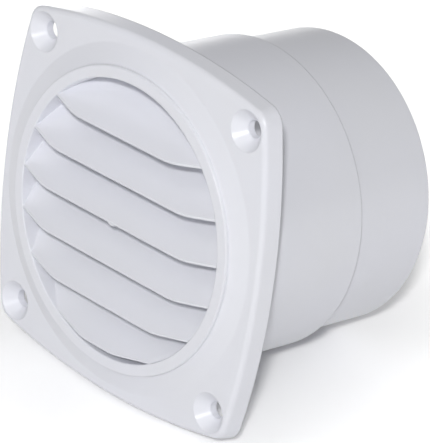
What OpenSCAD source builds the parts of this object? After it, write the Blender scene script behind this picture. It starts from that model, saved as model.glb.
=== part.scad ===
// Round louvred wall vent, moulded in one piece.
// The origin is on the spigot axis at the back of the plate, where it meets the wall.
// The grille looks towards -Y, the spigot runs back along +Y and +Z is up.

/* [Plate] */
// Width and height of the plate at the wall, across the middle of its bowed sides
plate_w = 95; // [90:0.5:120]
// Thickness of the plate from the wall to its flat front
plate_t = 5; // [4:0.1:8]
// Radius of the bow of each side
side_r = 180; // [140:5:600]
// Radius of the four corners
corner_r = 5.5; // [4:0.1:9]
// Slope of the plate's side walls, in degrees from square
side_draft = 10; // [2:1:15]
// Radius of the rounded front edge
edge_r = 1.5; // [0.6:0.1:2]
// Thickness of the front wall over the hollow back
face_wall = 2.2; // [1.6:0.1:3]
// Thickness of the skirt round the hollow back
skirt_wall = 2.4; // [1.6:0.1:3]

/* [Screw holes] */
// Distance between the screw holes, across and up
hole_spacing = 73; // [70:0.5:84]
// Diameter of each through hole
hole_d = 4.4; // [3:0.1:5]
// Diameter of each countersink at the front
sink_d = 10.2; // [8:0.1:11]
// Full angle of each countersink
sink_angle = 90; // [82:1:100]
// Diameter of the boss behind each hole
boss_d = 9.4; // [8:0.1:11]

/* [Raised ring] */
// Diameter of the round opening, which runs on as the bore of the spigot
opening_d = 71; // [60:0.5:72]
// Width of the flat ring round the opening
ring_w = 3.15; // [2:0.05:5]
// Height of the ring above the flat front of the plate
ring_h = 2.8; // [1.6:0.1:4]
// Height of the sharp step at the outside of the ring
ring_step = 1; // [0.4:0.1:1.4]
// Width of the slope from that step down to the plate
slope_w = 5.5; // [3:0.1:6]
// Radius of the ring's outer edge
ring_edge_r = 0.4; // [0.2:0.05:0.6]
// Radius of the opening's edge
opening_edge_r = 0.3; // [0.2:0.05:0.8]

/* [Spigot] */
// Wall of the end part, which the hose fits over
end_wall = 2.6; // [2:0.1:4]
// Length of the end part
end_len = 26.5; // [15:0.5:40]
// Height of the step up to the thicker part next to the plate
base_step = 1.9; // [0.5:0.1:3]
// Length of that thicker part, from the wall
base_len = 36.8; // [20:0.1:60]
// Bevel at the spigot's mouth, inside and out
mouth_bevel = 0.6; // [0.2:0.1:1]

/* [Louvres] */
// Number of louvres
louvre_n = 6; // [4:1:6]
// Distance from one louvre to the next
louvre_pitch = 11; // [10:0.1:13]
// Height of the top louvre's lip above the axis
top_lip_z = 22; // [18:0.5:24]
// How far the lips stand out in front of the ring
lip_out = 1.9; // [0.5:0.1:3]
// Slope of the louvre face, in degrees above level
louvre_angle = 39; // [34:1:45]
// Slope of the steeper back part of the louvre, in degrees above level
back_angle = 51; // [46:1:60]
// Thickness of a louvre
louvre_t = 1.8; // [1.2:0.1:2.4]
// Height of the blunt front of the lip
nose_h = 0.6; // [0.3:0.1:1]
// Distance up the face to the fold in the middle of the louvre
fold_mid = 8.8; // [6:0.1:10]
// Distance up the face to the fold at the ends of the louvre
fold_end = 3.8; // [3:0.1:5.5]
// Length over which the lip bends back to the ring at each end
lip_run = 9.7; // [5:0.1:12]
// Length over which the fold drops towards each end
fold_run = 14; // [8:0.5:18]
// How far the lip's ends stay behind the face of the ring
lip_end_gap = 0.2; // [0.1:0.05:0.5]
// Height left between a louvre's back edge and the next lip's level
shut_gap = 0.2; // [0.1:0.1:1]

/* [Gate mark] */
// Width of the moulding mark on the lip that crosses the axis
gate_w = 3; // [1:0.5:5]
// How far the mark hangs below that lip
gate_h = 0.4; // [0.2:0.1:0.8]

/* [Hidden] */
$fn = 96;
plastic_white = [0.93, 0.94, 0.95];
// Depth by which cuts pass through, and by which joined forms run into each other
over = 1;
bite = 0.5;

half_w = plate_w / 2;
plate_y = -plate_t;
ring_y = plate_y - ring_h;
lip_y = ring_y - lip_out;
bore_r = opening_d / 2;
ring_r = bore_r + ring_w;
slope_r = ring_r + slope_w;
end_r = bore_r + end_wall;
base_r = end_r + base_step;
mouth_y = base_len + end_len;
sink_depth = (sink_d - hole_d) / 2 / tan(sink_angle / 2);

// The corner arcs touch the side arcs from inside, so their centres follow from both radii.
side_c = side_r - half_w;
corner_c = (sqrt(2 * pow(side_r - corner_r, 2) - side_c * side_c) - side_c) / 2;
corner_turn = atan2(corner_c, corner_c + side_c);
// Each corner arc stands this far outside its tangent place, so that it crosses the sides.
corner_ease = 0.05;

// Sections over each end run of a louvre, and steps round its fold
end_steps = 7;
fold_steps = 3;
// How far the louvres' ends run into the wall
root_depth = 1.6;
bend_ease = 0.3;
mid_angle = (louvre_angle + back_angle) / 2;
lip_end_s = (lip_out + lip_end_gap) / cos(louvre_angle);

module along_y() {
    rotate([-90, 0, 0]) children();
}

// Section of a disc's rim with a sloping side and a rounded front edge
module rim_section(rim_r) {
    side_t = plate_t - edge_r;
    edge_x = rim_r - (edge_r + side_t * sin(side_draft)) / cos(side_draft);
    touch = [edge_x + edge_r * cos(side_draft), side_t + edge_r * sin(side_draft)];
    intersection() {
        union() {
            polygon([[0, 0], [rim_r, 0], touch, [edge_x, side_t], [edge_x, plate_t], [0, plate_t]]);
            translate([edge_x, side_t]) circle(r = edge_r);
        }
        square([rim_r + over, plate_t + over]);
    }
}

// A disc with that rim, its flat back at the wall
module rim_disc(rim_r) {
    rotate([90, 0, 0]) rotate_extrude($fn = 180) rim_section(rim_r);
}

// The part of the plane, seen from the front, that belongs to one rounded corner
module corner_wedge(reach) {
    a = corner_turn;
    polygon([
        [0, 0],
        reach * [cos(a), sin(a)],
        reach * [1, 1],
        reach * [sin(a), cos(a)]
    ]);
}

module at_holes() {
    for (x = [-1, 1], z = [-1, 1]) translate([x, 0, z] * hole_spacing / 2) children();
}

// Everything that a round corner leaves standing: the corner's own disc and all that lies beside it
module corner_limit() {
    rim_disc(corner_r + corner_ease);
    rotate([90, 0, 0]) translate([0, 0, -over]) linear_extrude(plate_t + 2 * over) difference() {
        translate([-plate_w, -plate_w]) square(2 * plate_w);
        corner_wedge(3 * corner_r);
    }
}

// The plate before it is hollowed: four bowed sides and four round corners, one edge all round
module plate_solid() {
    intersection() {
        intersection_for (turn = [0:90:270]) {
            rotate([0, turn, 0]) translate([-side_c, 0, 0]) rim_disc(side_r);
        }
        intersection_for (turn = [0:90:270]) {
            rotate([0, turn, 0]) translate([corner_c, 0, corner_c]) corner_limit();
        }
    }
}

// Outline of the hollow behind the plate, inside the skirt
module hollow_outline() {
    inner_r = corner_r + corner_ease - skirt_wall;
    difference() {
        intersection_for (turn = [0:90:270]) {
            rotate(turn) translate([-side_c, 0]) circle(r = side_r - skirt_wall, $fn = 360);
        }
        for (turn = [0:90:270]) rotate(turn) translate([corner_c, corner_c]) difference() {
            corner_wedge(3 * corner_r);
            circle(r = inner_r);
        }
    }
}

// Hollow between skirt and spigot, with a boss left standing round each screw hole
module plate_hollow() {
    difference() {
        rotate([90, 0, 0]) translate([0, 0, -over])
            linear_extrude(plate_t - face_wall + over) hollow_outline();
        along_y() translate([0, 0, -plate_t]) cylinder(r = base_r, h = 2 * plate_t, $fn = 180);
        at_holes() along_y() translate([0, 0, -plate_t]) cylinder(d = boss_d, h = 2 * plate_t);
    }
}

// Half section of ring, slope and spigot, radius across and depth up
module spigot_section() {
    difference() {
        polygon([
            [bore_r, ring_y],
            [ring_r, ring_y],
            [ring_r, ring_y + ring_step],
            [slope_r, plate_y],
            [base_r, plate_y + face_wall / 2],
            [base_r, base_len],
            [end_r, base_len],
            [end_r, mouth_y - mouth_bevel],
            [end_r - mouth_bevel, mouth_y],
            [bore_r + mouth_bevel, mouth_y],
            [bore_r, mouth_y - mouth_bevel]
        ]);
        translate([ring_r - ring_edge_r, ring_y + ring_edge_r]) edge_cut(ring_edge_r, 1);
        translate([bore_r + opening_edge_r, ring_y + opening_edge_r]) edge_cut(opening_edge_r, -1);
    }
}

// What a rounded edge takes off a square one
module edge_cut(r, side) {
    difference() {
        translate([side > 0 ? 0 : -r - over, -r - over]) square(r + over);
        circle(r = r, $fn = 32);
    }
}

module spigot_and_ring() {
    along_y() rotate_extrude($fn = 180) spigot_section();
}

module screw_hole() {
    along_y() {
        translate([0, 0, -plate_t - over]) cylinder(d = hole_d, h = plate_t + 2 * over, $fn = 48);
        translate([0, 0, plate_y]) cylinder(d1 = sink_d, d2 = hole_d, h = sink_depth, $fn = 64);
    }
}

// A smooth ramp: nothing before 0, then an even rise that ends as 1 at 1
function ramp(u) =
    u <= -bend_ease ? 0 :
    u >= 1 ? 1 :
    u < bend_ease ? pow(u + bend_ease, 2) / (4 * bend_ease) : u;

// Half the width of a round of radius r at a height
function half_chord(r, z) = sqrt(max(r * r - z * z, 1));

// How far up the face the lip has moved, and where the fold lies, at a distance x from the middle
function lip_shift(x, wall_x) = lip_end_s * ramp(1 - (wall_x - abs(x)) / lip_run);
function fold_at(x, wall_x) =
    fold_mid - (fold_mid - fold_end) * ramp(1 - (wall_x - abs(x)) / fold_run);

// The nearest that the fold may come to the lip, so that the louvre keeps its thickness below it
function least_fold(shift) =
    shift + max(0.5, (louvre_t * cos(mid_angle) + shut_gap - nose_h) / sin(louvre_angle));

// Section of a louvre: depth behind the lip's plane and height above the lip, front bottom first
function louvre_section(shift, wanted_fold) =
    let (
        up = [cos(louvre_angle), sin(louvre_angle)],
        back = [cos(back_angle), sin(back_angle)],
        nose = [0, nose_h],
        start = shift * up,
        fold = max(wanted_fold, least_fold(shift)),
        corner = nose + fold * up,
        reach = (louvre_pitch - shut_gap - corner[1]) / sin(back_angle),
        ease = min(0.3 * fold, 0.6 * (fold - shift), 0.6 * reach),
        behind = corner + louvre_t * [sin(mid_angle), -cos(mid_angle)]
    )
    concat(
        [start, start + nose],
        [for (k = [0:fold_steps])
            let (v = k / fold_steps)
            corner - ease * pow(1 - v, 2) * up + ease * pow(v, 2) * back],
        [
            corner + reach * back,
            corner + reach * back + [louvre_t / sin(back_angle), 0],
            behind,
            behind - (behind[1] - start[1]) / sin(louvre_angle) * up
        ]
    );

// One louvre, lofted through its sections from inside the wall on the left to inside it on the right
module louvre(lip_z) {
    end_z = lip_z + lip_end_s * sin(louvre_angle);
    wall_x = half_chord(bore_r, end_z);
    end_x = half_chord(bore_r + root_depth, end_z);
    first = max(wall_x - max(lip_run * (1 + bend_ease), fold_run), 1);
    right = [for (k = [0:end_steps]) end_x - (end_x - first) * k / end_steps];
    xs = concat([for (x = right) -x], [for (k = [end_steps:-1:0]) right[k]]);
    rings = [for (x = xs)
        [for (p = louvre_section(lip_shift(x, wall_x), fold_at(x, wall_x)))
            let (z = lip_z + p[1])
            [x / end_x * half_chord(bore_r + root_depth, z), lip_y + p[0], z]]];
    n = len(rings[0]);
    last = n * (len(xs) - 1);
    points = [for (ring = rings) each ring];
    skin = [for (i = [0:len(xs) - 2], k = [0:n - 1])
        let (a = i * n + k, b = i * n + (k + 1) % n)
        each [[a, b, b + n], [a, b + n, a + n]]];
    // The end faces are triangles too, because the sections follow the round wall.
    cap = concat(
        [[n - 1, 0, 1], [n - 1, 1, 2], [n - 1, 2, n - 2]],
        [for (k = [2:n - 5]) [k, k + 1, n - 2]],
        [[n - 4, n - 3, n - 2]]
    );
    caps = [for (t = cap) each [[t[2], t[1], t[0]], [last + t[0], last + t[1], last + t[2]]]];
    polyhedron(points, concat(skin, caps), convexity = 4);
}

module louvre_field() {
    for (i = [0:louvre_n - 1]) louvre(top_lip_z - i * louvre_pitch);
}

// The mark left by the gate, a low round pip on the edge of the lip on the axis
module gate_mark() {
    gate_r = (pow(gate_w / 2, 2) + pow(gate_h, 2)) / (2 * gate_h);
    lip_z = top_lip_z - round(top_lip_z / louvre_pitch) * louvre_pitch;
    intersection() {
        translate([0, lip_y, lip_z - gate_h + gate_r]) along_y() cylinder(r = gate_r, h = nose_h);
        translate([-gate_w / 2, lip_y, lip_z - gate_h])
            cube([gate_w, nose_h, gate_h + nose_h / 2]);
    }
}

module vent_body() {
    color(plastic_white) {
        difference() {
            union() {
                plate_solid();
                spigot_and_ring();
            }
            along_y() translate([0, 0, ring_y - over]) cylinder(r = bore_r, h = over - ring_y + bite, $fn = 180);
            plate_hollow();
            at_holes() screw_hole();
        }
        louvre_field();
        gate_mark();
    }
}

vent_body();
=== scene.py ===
# %% [markdown]
# # A round louvred wall vent
#
# The real object is one white plastic moulding. A square plate with bowed sides carries a raised
# ring, six slanted louvres fill the round opening, and a stepped spigot behind takes a hose.
# Nothing on it moves and nothing is fitted to it, so the finished model is one piece.
#
# The plan follows the tool maker's: loft the plate from its outline, turn the ring and the
# spigot as on a lathe, cut the screw holes, and let Geometry Nodes bend the row of louvres.
# The part's sizes are in millimetres here and become metres when a mesh is made. Only the
# lamps and the reach of the floor's glow are given in metres.

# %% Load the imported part
import math

import bmesh
import bpy
from mathutils import Matrix, Vector


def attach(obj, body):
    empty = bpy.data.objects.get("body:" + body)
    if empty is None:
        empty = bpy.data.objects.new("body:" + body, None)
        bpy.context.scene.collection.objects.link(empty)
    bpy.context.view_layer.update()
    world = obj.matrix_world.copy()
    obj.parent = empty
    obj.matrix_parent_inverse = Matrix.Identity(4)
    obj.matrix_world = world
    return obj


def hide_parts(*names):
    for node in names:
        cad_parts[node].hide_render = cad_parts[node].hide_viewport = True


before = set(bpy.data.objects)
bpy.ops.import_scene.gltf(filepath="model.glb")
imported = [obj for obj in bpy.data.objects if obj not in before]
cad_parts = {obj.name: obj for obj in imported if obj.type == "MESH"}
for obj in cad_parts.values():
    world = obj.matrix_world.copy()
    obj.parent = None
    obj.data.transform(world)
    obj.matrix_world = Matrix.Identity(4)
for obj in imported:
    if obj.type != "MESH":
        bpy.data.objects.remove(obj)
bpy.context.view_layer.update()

# %% [markdown]
# The sizes are the ones that the solid part has. Each is written once, in the words that a
# pattern maker would use, and every cell below works from them. The frame's y axis runs from
# the front of the grille back along the spigot, and z is up.

# %% Sizes in millimetres
MM = 0.001

plate_w, plate_t = 95.0, 5.0
side_r, corner_r = 180.0, 5.5
side_draft = math.radians(10)
edge_r = 1.5
face_wall, skirt_wall = 2.2, 2.4

hole_spacing, hole_d, boss_d = 73.0, 4.4, 9.4
sink_d, sink_angle = 10.2, math.radians(90)

opening_d, ring_w, ring_h = 71.0, 3.15, 2.8
ring_step, slope_w = 1.0, 5.5
ring_edge_r, opening_edge_r = 0.4, 0.3

end_wall, end_len = 2.6, 26.5
base_step, base_len = 1.9, 36.8
mouth_bevel = 0.6

half_w = plate_w / 2
bore_r = opening_d / 2
ring_r = bore_r + ring_w
slope_r = ring_r + slope_w
end_r = bore_r + end_wall
base_r = end_r + base_step
plate_y = -plate_t
ring_y = plate_y - ring_h
mouth_y = base_len + end_len
print("opening radius", bore_r, "ring radius", ring_r, "spigot radii", base_r, end_r)

# %% [markdown]
# Three small helpers make the turned and lofted forms. A loft joins rings that all have the
# same number of points. A closed loft ends where it began, as a turned tube does, and an
# open one gets a flat cap at each end. Blender could also spin a curve with a Screw modifier,
# but a loft written out keeps every ring's size in view and closes without doubled points.

# %% Helpers for meshes
def new_object(name, mesh):
    obj = bpy.data.objects.new(name, mesh)
    bpy.context.scene.collection.objects.link(obj)
    return obj


def loft(name, rings, closed=False):
    """A closed mesh through rings of (x, y, z) points in millimetres."""
    count = len(rings[0])
    points = [[c * MM for c in p] for ring in rings for p in ring]
    spans = len(rings) if closed else len(rings) - 1
    faces = []
    for i in range(spans):
        a, b = i * count, ((i + 1) % len(rings)) * count
        for k in range(count):
            n = (k + 1) % count
            faces.append((a + k, a + n, b + n, b + k))
    if not closed:
        faces.append(tuple(range(count - 1, -1, -1)))
        faces.append(tuple(range(spans * count, (spans + 1) * count)))
    mesh = bpy.data.meshes.new(name)
    mesh.from_pydata(points, [], faces)
    shape = bmesh.new()
    shape.from_mesh(mesh)
    bmesh.ops.recalc_face_normals(shape, faces=shape.faces)
    shape.to_mesh(mesh)
    shape.free()
    return new_object(name, mesh)


def turned(name, profile, segments=288, closed=True):
    """A form turned about the y axis, from (radius, y) points."""
    turns = [2 * math.pi * k / segments for k in range(segments)]
    rings = [[(radius * math.cos(t), y, radius * math.sin(t)) for t in turns]
             for radius, y in profile]
    return loft(name, rings, closed)


def arc(centre, radius, start, end, steps):
    """Points on an arc from one angle to another, both ends included."""
    angles = [start + (end - start) * k / steps for k in range(steps + 1)]
    return [(centre[0] + radius * math.cos(a), centre[1] + radius * math.sin(a)) for a in angles]


print("mesh helpers ready")

# %% [markdown]
# Pieces of one moulding are added to each other, and holes are cut, by the Boolean modifier.
# Its Manifold solver is quick and keeps the result closed, and it needs closed meshes, which
# every loft is. A cutter goes a little past the face that it cuts, because two faces in one
# plane could leave a thin skin over the hole.

# %% Add or cut one closed mesh with another
CUT_PAST = 1.0


def combine(body, tool, operation):
    """Adds or cuts one closed mesh with another, and removes the tool."""
    modifier = body.modifiers.new("combine", "BOOLEAN")
    modifier.operation = operation
    modifier.solver = "MANIFOLD"
    modifier.object = tool
    depsgraph = bpy.context.evaluated_depsgraph_get()
    result = bpy.data.meshes.new_from_object(body.evaluated_get(depsgraph))
    body.modifiers.clear()
    old, body.data = body.data, result
    bpy.data.meshes.remove(old)
    bpy.data.meshes.remove(tool.data)


print("cutters go past their faces by", CUT_PAST, "mm")

# %% [markdown]
# The plate looks square, but each side is a shallow bow, and a small round joins it to the next.
# Both arcs touch where they meet, so one angle fixes the corner. The same outline, drawn a
# little further in, gives the tapered side, the rounded front edge and the hollow behind.

# %% The plate's outline and its shell
side_c = side_r - half_w
corner_c = (math.sqrt(2 * (side_r - corner_r) ** 2 - side_c ** 2) - side_c) / 2
corner_turn = math.atan2(corner_c, corner_c + side_c)
SIDE_STEPS, CORNER_STEPS, EDGE_STEPS = 36, 14, 8
OPENING_CLEAR = 2.0


def plate_outline(inset, y):
    """The bowed square at one depth, moved in from the widest outline."""
    side = arc((-side_c, 0), side_r - inset, -corner_turn, corner_turn, SIDE_STEPS)
    corner = arc((corner_c, corner_c), corner_r - inset, corner_turn, math.pi / 2 - corner_turn,
                 CORNER_STEPS)
    quarter = side + corner[1:-1]
    points = []
    for turn in range(4):
        c, s = round(math.cos(turn * math.pi / 2)), round(math.sin(turn * math.pi / 2))
        points += [(x * c - z * s, y, x * s + z * c) for x, z in quarter]
    return points


def plate_profile():
    """(inset, y) from the wall round the front edge to the flat front."""
    side_t = plate_t - edge_r
    edge_in = (edge_r + side_t * math.sin(side_draft)) / math.cos(side_draft)
    rows = [(0, 0)]
    for k in range(EDGE_STEPS + 1):
        a = side_draft + (math.pi / 2 - side_draft) * k / EDGE_STEPS
        rows.append((edge_in - edge_r * math.cos(a), -(side_t + edge_r * math.sin(a))))
    return rows


plate = loft("plate", [plate_outline(inset, y) for inset, y in plate_profile()])
hollow_ends = (plate_y + face_wall, CUT_PAST)
combine(plate, loft("hollow", [plate_outline(skirt_wall, y) for y in hollow_ends]), "DIFFERENCE")
opening_ends = (plate_y - CUT_PAST, CUT_PAST)
opening_profile = [(bore_r + OPENING_CLEAR, y) for y in opening_ends]
combine(plate, turned("opening", opening_profile, closed=False), "DIFFERENCE")
print("plate shell:", len(plate.data.polygons), "faces")

# %% [markdown]
# The ring, its sharp step, the slope down to the plate and the whole spigot share one axis.
# On the mould they are one turned insert, so here they are one profile, turned once. Small arcs
# take the sharpness off the ring's edges, because a perfectly sharp edge never catches light. One
# more point on the slope, close to its foot, keeps the slope's shading its own: without it, smooth
# shading would spread the flat plate's normal all the way up to the ring.

# %% The turned ring and spigot
SLOPE_SINK, FOOT_BLEND = 0.6, 0.7
RING_EDGE_STEPS = 6
slope_rise = ring_h - ring_step
sink_r = slope_r + SLOPE_SINK * slope_w / slope_rise

ring_profile = arc((bore_r + opening_edge_r, ring_y + opening_edge_r), opening_edge_r,
                   math.pi, 1.5 * math.pi, RING_EDGE_STEPS)
ring_profile += arc((ring_r - ring_edge_r, ring_y + ring_edge_r), ring_edge_r,
                    1.5 * math.pi, 2 * math.pi, RING_EDGE_STEPS)
ring_profile += [
    (ring_r, ring_y + ring_step),
    (slope_r - FOOT_BLEND, plate_y - FOOT_BLEND * slope_rise / slope_w),
    (sink_r, plate_y + SLOPE_SINK),
    (base_r, plate_y + SLOPE_SINK),
    (base_r, base_len),
    (end_r, base_len),
    (end_r, mouth_y - mouth_bevel),
    (end_r - mouth_bevel, mouth_y),
    (bore_r + mouth_bevel, mouth_y),
    (bore_r, mouth_y - mouth_bevel),
]
combine(plate, turned("ring_and_spigot", ring_profile), "UNION")
print("with ring and spigot:", len(plate.data.polygons), "faces")

# %% [markdown]
# Node trees for geometry and for materials are easier to read as sums than as wires. The class
# below wraps one output socket, so that a product or a difference of two wires adds the Math
# node by itself. The reflected forms let a plain number stand on the left, as in 1 - mask.

# %% Node trees written as expressions
class Wire:
    """An output socket of a node tree that can be added, scaled and compared."""

    def __init__(self, tree, socket):
        self.tree = tree
        self.socket = socket

    def make(self, kind, settings=None, inputs=None, output=0):
        """Any node: its settings first, then the values or wires of its sockets."""
        node = self.tree.nodes.new(kind)
        for name, value in (settings or {}).items():
            setattr(node, name, value)
        for key, value in (inputs or {}).items():
            if isinstance(value, Wire):
                self.tree.links.new(value.socket, node.inputs[key])
            else:
                node.inputs[key].default_value = value
        return Wire(self.tree, node.outputs[output])

    def math(self, operation, *others):
        return self.make("ShaderNodeMath", {"operation": operation},
                         dict(enumerate((self, *others))))

    def __add__(self, other):
        return self.math("ADD", other)

    def __sub__(self, other):
        return self.math("SUBTRACT", other)

    def __mul__(self, other):
        return self.math("MULTIPLY", other)

    def __truediv__(self, other):
        return self.math("DIVIDE", other)

    def __rsub__(self, other):
        return self.make("ShaderNodeMath", {"operation": "SUBTRACT"}, {0: other, 1: self})

    def __gt__(self, other):
        return self.math("GREATER_THAN", other)

    def __abs__(self):
        return self.math("ABSOLUTE")

    __radd__ = __add__
    __rmul__ = __mul__

    def least(self, other):
        return self.math("MAXIMUM", other)

    def most(self, other):
        return self.math("MINIMUM", other)

    def root(self):
        return self.math("SQRT")

    def between(self, low, high):
        """0 below low, 1 above high, and even in between."""
        return ((self - low) * (1 / (high - low))).least(0).most(1)


print("wires ready")

# %% [markdown]
# A geometry tree is a small machine with named sizes on its front. Three steps are the same for
# every tree: open it with its named inputs, end it with real geometry in the white plastic, and
# run it on an object. The result is kept as a plain mesh, because an export drops instances, and
# the modifier goes, because the mesh no longer needs it.

# %% Open, close and run a geometry tree
def node_tree(name, sizes):
    """An empty geometry tree with a geometry socket each way and one named input a size."""
    tree = bpy.data.node_groups.new(name, "GeometryNodeTree")
    sockets = tree.interface
    sockets.new_socket("Geometry", in_out="INPUT", socket_type="NodeSocketGeometry")
    sockets.new_socket("Geometry", in_out="OUTPUT", socket_type="NodeSocketGeometry")
    for size, value in sizes.items():
        kind = "NodeSocketInt" if isinstance(value, int) else "NodeSocketFloat"
        sockets.new_socket(size, in_out="INPUT", socket_type=kind)
    entry = tree.nodes.new("NodeGroupInput")
    wires = {s.name: Wire(tree, s) for s in entry.outputs if s.name}
    return tree, wires


def close_tree(tree, result, material):
    """Ends a tree in Realize Instances and Set Material."""
    real = result.make("GeometryNodeRealizeInstances", None, {0: result})
    dressed = real.make("GeometryNodeSetMaterial", None, {"Geometry": real, "Material": material})
    leave = tree.nodes.new("NodeGroupOutput")
    tree.links.new(dressed.socket, leave.inputs[0])


def run_tree(obj, tree, sizes):
    """Runs a tree on an object with these sizes and keeps the result as its plain mesh."""
    modifier = obj.modifiers.new(tree.name, "NODES")
    modifier.node_group = tree
    for item in tree.interface.items_tree:
        if item.in_out == "INPUT" and item.name in sizes:
            modifier[item.identifier] = sizes[item.name]
    depsgraph = bpy.context.evaluated_depsgraph_get()
    result = bpy.data.meshes.new_from_object(obj.evaluated_get(depsgraph))
    obj.modifiers.clear()
    old, obj.data = obj.data, result
    bpy.data.meshes.remove(old)
    return obj


white_plastic = bpy.data.materials.new("gloss_white_plastic")
print("tree helpers ready for", white_plastic.name)

# %% [markdown]
# Each screw hole is a straight bore with a countersink for the head, and behind the plate a
# round boss stands about it. All four are alike, so a 2 by 2 grid of points carries copies of
# one turned cutter. The tree is used twice, once for the bosses and once for the holes.

# %% Screw bosses and holes on a grid of points
corner_sizes = {"Spacing": hole_spacing * MM}
corner_tree, wires = node_tree("at_the_corners", corner_sizes)
start = wires["Geometry"]
grid = start.make("GeometryNodeMeshGrid", None, {
    "Size X": wires["Spacing"], "Size Y": wires["Spacing"], "Vertices X": 2, "Vertices Y": 2})
upright = start.make("GeometryNodeTransform", None, {
    "Geometry": grid, "Rotation": (math.pi / 2, 0, 0)})
copies = start.make("GeometryNodeInstanceOnPoints", None, {
    "Points": upright, "Instance": start})
close_tree(corner_tree, copies, white_plastic)

BOSS_SIDES, HOLE_SIDES = 64, 96
boss_profile = [(boss_d / 2, plate_y + face_wall / 2), (boss_d / 2, 0)]
boss = turned("boss", boss_profile, BOSS_SIDES, closed=False)
combine(plate, run_tree(boss, corner_tree, corner_sizes), "UNION")

sink_slope = math.tan(sink_angle / 2)
hole_profile = [
    (sink_d / 2 + CUT_PAST * sink_slope, plate_y - CUT_PAST),
    (hole_d / 2, plate_y + (sink_d - hole_d) / 2 / sink_slope),
    (hole_d / 2, CUT_PAST),
]
hole = turned("screw_hole", hole_profile, HOLE_SIDES, closed=False)
combine(plate, run_tree(hole, corner_tree, corner_sizes), "DIFFERENCE")
print("with bosses and holes:", len(plate.data.polygons), "faces")

# %% [markdown]
# The louvres are six bent strips. In section each has a blunt lip, a face that slopes up at 39
# degrees, a soft fold, and a steeper back part. Towards both ends the lip draws back to the
# ring and the fold drops, which gives each louvre its faceted corners.
#
# A sculpted strip could be copied six times, but the opening is round, so every louvre has
# another length. The tree gives each point its place by formula instead, and all its sizes are
# named inputs, so a flatter or a closer row needs no new drawing.

# %% Louvre sizes
face_angle = math.radians(39)
lip_proud, end_sink = 1.9, 0.2
louvre_sizes = {
    "Count": 6,
    "Pitch": 11.0,
    "Top lip height": 22.0,
    "Lip depth": ring_y - lip_proud,
    "Opening radius": bore_r,
    "Face angle": face_angle,
    "Back angle": math.radians(51),
    "Thickness": 1.8,
    "Nose height": 0.6,
    "Fold in the middle": 8.8,
    "Fold at the ends": 3.8,
    "Lip run": 9.7,
    "Fold run": 14.0,
    "Lip draw": (lip_proud + end_sink) / math.cos(face_angle),
    "Gap": 0.2,
    "Root": 1.6,
}
print("louvre sizes:", len(louvre_sizes))

# %% [markdown]
# The tree starts from one flat bar for each louvre, a box with a fine grid of points. The
# bars are laid out in layers, so a point's own position says which louvre it belongs to. Along a
# bar u runs from -1 to 1, across it v counts the four parts of the section from the lip's foot,
# and the upper layer of points becomes the face while the lower one becomes the underside.

# %% A bar of points for each louvre
STATIONS, ROWS = 151, 33
SECTION_PARTS = 4
LAYER_STEP = 4.0

louvre_tree, size = node_tree("louvre_row", louvre_sizes)
start = size["Geometry"]
position = start.make("GeometryNodeInputPosition")
bar = start.make("GeometryNodeMeshCube", None, {
    "Size": (2, SECTION_PARTS, 1), "Vertices X": STATIONS, "Vertices Y": ROWS, "Vertices Z": 2})
row_of_points = start.make("GeometryNodeMeshLine", None, {
    "Count": size["Count"], "Offset": (0, 0, LAYER_STEP)})
bars = start.make("GeometryNodeInstanceOnPoints", None, {
    "Points": row_of_points, "Instance": bar})
bars = start.make("GeometryNodeRealizeInstances", None, {0: bars})

u, v, w = (start.make("ShaderNodeSeparateXYZ", None, {0: position}, k) for k in range(3))
v = v + SECTION_PARTS / 2
number = (w / LAYER_STEP).math("ROUND")
front = (w - number * LAYER_STEP) > 0
print("bars of", STATIONS, "by", ROWS, "points")

# %% [markdown]
# The next expressions are the louvre's drawing. A half chord is half the width of the round
# opening at a height. The ramp stays at nothing, eases in, and rises evenly to one at the
# wall: once it draws the lip back, and once it brings the fold down. The fold never drops so far
# that its underside would touch the louvre below, and its round never takes the whole face.

# %% The louvre's lip and fold along its length
BEND_EASE = 0.3
LEAST_FACE = 0.5
ROUND_OF_FOLD, ROUND_OF_SIDE = 0.3, 0.6


def half_chord(radius, height):
    return (radius * radius - height * height).least(1).root()


def ramp(s):
    soft = (s + BEND_EASE).least(0)
    soft = soft * soft * (1 / (4 * BEND_EASE))
    past = s > BEND_EASE
    return past * s.most(1) + (1 - past) * soft


up_y, up_z = size["Face angle"].math("COSINE"), size["Face angle"].math("SINE")
back_y, back_z = size["Back angle"].math("COSINE"), size["Back angle"].math("SINE")
middle_angle = (size["Face angle"] + size["Back angle"]) * 0.5
middle_y, middle_z = middle_angle.math("COSINE"), middle_angle.math("SINE")

lip_z = size["Top lip height"] - number * size["Pitch"]
end_z = lip_z + size["Lip draw"] * up_z
root_r = size["Opening radius"] + size["Root"]
wall_x = half_chord(size["Opening radius"], end_z)
from_wall = wall_x - abs(u) * half_chord(root_r, end_z)

shift = size["Lip draw"] * ramp(1 - from_wall / size["Lip run"])
fold_lift = size["Fold in the middle"] - size["Fold at the ends"]
drop = fold_lift * ramp(1 - from_wall / size["Fold run"])
clear = (size["Thickness"] * middle_y + size["Gap"] - size["Nose height"]) / up_z
fold = (size["Fold in the middle"] - drop).least(shift + clear.least(LEAST_FACE))
corner_z = size["Nose height"] + fold * up_z
reach = (size["Pitch"] - size["Gap"] - corner_z) / back_z
ease = (fold * ROUND_OF_FOLD).most((fold - shift) * ROUND_OF_SIDE).most(reach * ROUND_OF_SIDE)
print("lip and fold: up to", len(louvre_tree.nodes), "nodes")

# %% [markdown]
# The section itself has four parts from the lip's foot: the blunt nose, the sloping face, the
# soft fold as a parabola, and the steep back. The underside has two straight parts that meet
# behind the fold, one wall thickness away from it. Last, u is stretched to the chord, so that both
# ends of a louvre run a little way into the wall of the opening.

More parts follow.
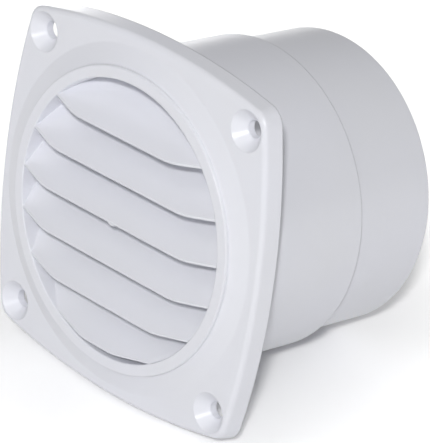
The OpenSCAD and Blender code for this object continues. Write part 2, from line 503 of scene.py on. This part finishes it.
# %% The louvre's section, and every point in its place
UNDER_KNEE = 2.5
nose_part, face_part = v.between(0, 1), v.between(1, 2)
fold_part, back_part = v.between(2, 3), v.between(3, SECTION_PARTS)
before_fold = 1 - fold_part
along_up = shift + face_part * (fold - ease - shift) + ease * (1 - before_fold * before_fold)
along_back = ease * fold_part * fold_part + back_part * (reach - ease)
face_y = along_up * up_y + along_back * back_y
face_z = along_up * up_z + along_back * back_z + nose_part * size["Nose height"]

behind_y = fold * up_y + size["Thickness"] * middle_z
behind_z = corner_z - size["Thickness"] * middle_y
down = (behind_z - shift * up_z) / up_z
top_y = fold * up_y + reach * back_y + size["Thickness"] / back_z
top_z = corner_z + reach * back_z
low_part, high_part = v.between(0, UNDER_KNEE), v.between(UNDER_KNEE, SECTION_PARTS)
under_y = behind_y - (1 - low_part) * down * up_y + high_part * (top_y - behind_y)
under_z = behind_z - (1 - low_part) * down * up_z + high_part * (top_z - behind_z)

point_y = size["Lip depth"] + front * face_y + (1 - front) * under_y
point_z = lip_z + front * face_z + (1 - front) * under_z
point_x = u * half_chord(root_r, point_z)
place = start.make("ShaderNodeCombineXYZ", None, {
    0: point_x * MM, 1: point_y * MM, 2: point_z * MM})
bent = start.make("GeometryNodeSetPosition", None, {"Geometry": bars, "Position": place})
close_tree(louvre_tree, bent, white_plastic)

louvres = new_object("louvres", bpy.data.meshes.new("louvres"))
run_tree(louvres, louvre_tree, louvre_sizes)
print("louvres:", len(louvres.data.polygons), "faces")

# %% [markdown]
# Where the plastic entered the mould, a small pip is left on the lip that crosses the axis.
# It is a flattened round form, sunk into the lip, so that only its lower half stands out.

# %% The gate mark
gate_w, gate_h, gate_depth = 3.0, 0.7, 0.8
gate_mesh = bpy.data.meshes.new("gate_mark")
shape = bmesh.new()
bmesh.ops.create_uvsphere(shape, u_segments=32, v_segments=16, radius=1)
gate_place = Matrix.Translation(Vector((0, louvre_sizes["Lip depth"] + gate_depth / 2, 0)) * MM)
gate_stretch = Matrix.Diagonal(Vector((gate_w / 2, gate_depth / 2, gate_h, 1 / MM)) * MM)
bmesh.ops.transform(shape, verts=shape.verts, matrix=gate_place @ gate_stretch)
shape.to_mesh(gate_mesh)
shape.free()
gate_mark = new_object("gate_mark", gate_mesh)
print("gate mark:", len(gate_mesh.polygons), "faces")

# %% [markdown]
# The louvres and the pip join the plate as one piece, since one shot of plastic made them all.
# Faces shade smoothly up to a limit angle, and Weighted Normal keeps the large flats flat
# next to their rounded edges.

# %% One moulded piece
def join(name, parts):
    """Joins meshes that are already in place, without an operator."""
    shape = bmesh.new()
    for part in parts:
        shape.from_mesh(part.data)
    mesh = bpy.data.meshes.new(name)
    shape.to_mesh(mesh)
    shape.free()
    for part in parts:
        bpy.data.objects.remove(part)
    mesh.materials.clear()
    mesh.materials.append(white_plastic)
    for face in mesh.polygons:
        face.material_index = 0
    return new_object(name, mesh)


SMOOTH_UP_TO = math.radians(28)
vent = join("moulded_vent", [plate, louvres, gate_mark])
vent.data.shade_smooth()
vent.data.set_sharp_from_angle(angle=SMOOTH_UP_TO)
weighted = vent.modifiers.new("even_shading", "WEIGHTED_NORMAL")
weighted.keep_sharp = True
weighted.weight = 100

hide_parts("vent_body")
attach(vent, "root")
print("moulded vent:", len(vent.data.polygons), "faces")

# %% [markdown]
# The plastic is a cool white with an even gloss. A moulded surface is never perfectly uniform:
# its tint drifts a little over a few centimetres, the gloss varies where the mould was polished
# by hand, and a faint ripple bends the highlights. Three noise patterns at three scales give
# that, all on Object coordinates, so that they stay put when the part is moved.
# A Bevel node rounds every sharp edge in the shading, as a mould's edges are never quite sharp.

# %% The white plastic
COOL_WHITE = (0.820, 0.828, 0.888, 1)
WARM_WHITE = (0.810, 0.818, 0.864, 1)
TINT_SCALE, GLOSS_SCALE, RIPPLE_SCALE = 28, 60, 420
LEAST_ROUGH, ROUGH_SPREAD = 0.27, 0.07
RIPPLE_DEPTH, EDGE_ROUND = 0.4, 0.4

white_plastic.use_nodes = True
shader_tree = white_plastic.node_tree
shader = shader_tree.nodes["Principled BSDF"]
begin = Wire(shader_tree, shader.outputs[0])
place = begin.make("ShaderNodeTexCoord", None, None, "Object")


def noise(scale, detail):
    """Noise on the object, from 0 to 1."""
    return begin.make("ShaderNodeTexNoise", None, {
        "Vector": place, "Scale": scale, "Detail": detail})


def blend(mask, first, second):
    """One colour where the mask is 0 and another where it is 1."""
    return begin.make("ShaderNodeMix", {"data_type": "RGBA"},
                      {"Factor": mask, 6: first, 7: second}, 2)


tint = blend(noise(TINT_SCALE, 2).between(0.3, 0.7), COOL_WHITE, WARM_WHITE)
roughness = LEAST_ROUGH + ROUGH_SPREAD * noise(GLOSS_SCALE, 3)
rounded = begin.make("ShaderNodeBevel", {"samples": 4}, {"Radius": EDGE_ROUND * MM})
ripple = begin.make("ShaderNodeBump", None, {
    "Strength": 0.05, "Distance": RIPPLE_DEPTH * MM, "Height": noise(RIPPLE_SCALE, 2),
    "Normal": rounded})
for name, wire in (("Base Color", tint), ("Roughness", roughness), ("Normal", ripple)):
    shader_tree.links.new(wire.socket, shader.inputs[name])
shader.inputs["IOR"].default_value = 1.48
print("material:", white_plastic.name, len(shader_tree.nodes), "nodes")

# %% [markdown]
# The vent stands on the lower edge of its plate and on the end of its spigot. The plate reaches
# lower than the spigot, so in the part's own frame the floor is a plane that tilts up towards
# the back. Working out that tilt from the two lines of contact turns the picture exactly upright.

# %% The floor
FLOOR_SIZE = 6000.0
FLOOR_GAP = 0.05
floor_tilt = math.atan2(half_w - end_r, mouth_y)


def floor_point(x, y):
    """The point of the tilted floor at x and y, in metres, from millimetres."""
    return Vector((x, y, y * math.tan(floor_tilt) - half_w - FLOOR_GAP)) * MM


corners = [(-1, -1), (1, -1), (1, 1), (-1, 1)]
floor_mesh = bpy.data.meshes.new("floor")
floor_mesh.from_pydata([floor_point(x * FLOOR_SIZE / 2, y * FLOOR_SIZE / 2) for x, y in corners],
                       [], [(0, 1, 2, 3)])
floor = new_object("floor", floor_mesh)
print("floor tilt in degrees:", round(math.degrees(floor_tilt), 2))

# %% [markdown]
# The photograph's background is pure white, while the floor close to the vent keeps a dark, narrow
# shadow. More light would wash out the plastic, so the floor itself does it, for rays that come
# from the camera or from a reflection: there it reflects a share more than a real floor can, which
# leaves the shadows their depth, and further out it also glows, as a white sweep of paper would.

# %% The floor's finish
def lit_backdrop(name, shade, extra, glow, middle, near, far):
    """A matt surface that is seen brighter than it lights, and glows more from near to far."""
    material = bpy.data.materials.new(name)
    material.use_nodes = True
    tree = material.node_tree
    matt = tree.nodes["Principled BSDF"]
    matt.inputs["Base Color"].default_value = (shade, shade, shade, 1)
    matt.inputs["Roughness"].default_value = 0.9
    matt.inputs["Specular IOR Level"].default_value = 0.0
    begin = Wire(tree, matt.outputs[0])
    seen = begin.make("ShaderNodeLightPath", None, None, "Is Camera Ray")
    mirrored = begin.make("ShaderNodeLightPath", None, None, "Is Glossy Ray")
    passed = begin.make("ShaderNodeLightPath", None, None, "Is Transmission Ray")
    direct = seen.least(mirrored).least(passed)
    brighter = begin.make("ShaderNodeBsdfDiffuse", None, {"Color": (extra, extra, extra, 1)})
    brighter = begin.make("ShaderNodeMixShader", None, {0: direct, 2: brighter})
    spot = begin.make("ShaderNodeTexCoord", None, None, "Object")
    away = begin.make("ShaderNodeVectorMath", {"operation": "DISTANCE"},
                      {0: spot, 1: middle}, "Value")
    emit = begin.make("ShaderNodeEmission", None, {
        "Strength": direct * away.between(near, far) * glow})
    both = begin.make("ShaderNodeAddShader", None, {0: begin, 1: brighter})
    both = begin.make("ShaderNodeAddShader", None, {0: both, 1: emit})
    tree.links.new(both.socket, tree.nodes["Material Output"].inputs["Surface"])
    return material


floor.data.materials.append(lit_backdrop(
    "white_floor", shade=0.88, extra=0.34, glow=0.5,
    middle=floor_point(-20, 30), near=0.04, far=0.11))
print("floor material:", floor.data.materials[0].name)

# %% [markdown]
# One small lamp stands to the right of the grille, close to the camera's direction and a little
# above it. It gives most of the light and draws the narrow dark lines under the lips: a lip hides
# the lamp from just as much of the next louvre as lies between the lamp's line of sight and the
# camera's. A wide, weak lamp high in front evens the louvres, one on the left fills the shadow
# side, and a low one lights the back. The world gives the rest an even, dim light, though the
# camera sees it as plain white. Aiming a lamp is the same sum each time, so it is one function
# of two angles.

# %% The lights
LAMP_DISTANCE = 2.0
WORLD_LIGHT = 0.23


def direction(azimuth, elevation):
    """A unit vector; azimuth 0 is straight in front of the grille, 90 to its right."""
    a, e = math.radians(azimuth), math.radians(elevation)
    return Vector((math.sin(a) * math.cos(e), -math.cos(a) * math.cos(e), math.sin(e)))


def lamp(name, azimuth, elevation, size, power):
    """A square area lamp at two angles from the vent, aimed back at it."""
    data = bpy.data.lights.new(name, "AREA")
    data.shape = "SQUARE"
    data.size = size
    data.energy = power
    obj = new_object(name, data)
    away = direction(azimuth, elevation)
    obj.location = away * LAMP_DISTANCE
    obj.rotation_euler = away.to_track_quat("Z", "Y").to_euler()


lamp("key", azimuth=41.5, elevation=27.5, size=0.14, power=22.5)
lamp("left_fill", azimuth=-40, elevation=30, size=1.0, power=1.1)
lamp("front_fill", azimuth=-8, elevation=55, size=1.0, power=3.9)
lamp("rear_fill", azimuth=238, elevation=8, size=0.5, power=9.0)

world = bpy.data.worlds.new("studio")
bpy.context.scene.world = world
world.use_nodes = True
background = world.node_tree.nodes["Background"]
sky = Wire(world.node_tree, background.outputs[0])
seen = sky.make("ShaderNodeLightPath", None, None, "Is Camera Ray")
world_strength = WORLD_LIGHT + seen * (1 - WORLD_LIGHT)
world.node_tree.links.new(world_strength.socket, background.inputs["Strength"])
background.inputs["Color"].default_value = (1, 1, 1, 1)
bpy.context.scene.view_settings.view_transform = "Standard"

# %% [markdown]
# The camera looks down from the right of the grille through a long lens, so that the plate's
# verticals hardly converge. Three angles and a distance place it about an aim point, and a small
# shift of the lens frames the vent as in the photograph.

# %% The camera
aim = Vector((14.256, 13.589, -0.314)) * MM
azimuth, elevation, roll = 44.002, 22.286, math.radians(7.595)
distance = 768.345 * MM

back = direction(azimuth, elevation)
level = direction(azimuth + 90, 0)
raised = back.cross(level)
right = level * math.cos(roll) + raised * math.sin(roll)
above = raised * math.cos(roll) - level * math.sin(roll)

camera_data = bpy.data.cameras.new("camera")
camera_data.lens = 255.0
camera_data.sensor_width = 36.0
camera_data.shift_x = -0.0103
camera_data.shift_y = 0.0153
camera_data.clip_start, camera_data.clip_end = 0.05, 30
camera = new_object("camera", camera_data)
turn = Matrix((right, above, back)).transposed().to_4x4()
camera.matrix_world = Matrix.Translation(aim + back * distance) @ turn
bpy.context.scene.camera = camera
print("camera at, in millimetres:", [round(c / MM) for c in camera.matrix_world.translation])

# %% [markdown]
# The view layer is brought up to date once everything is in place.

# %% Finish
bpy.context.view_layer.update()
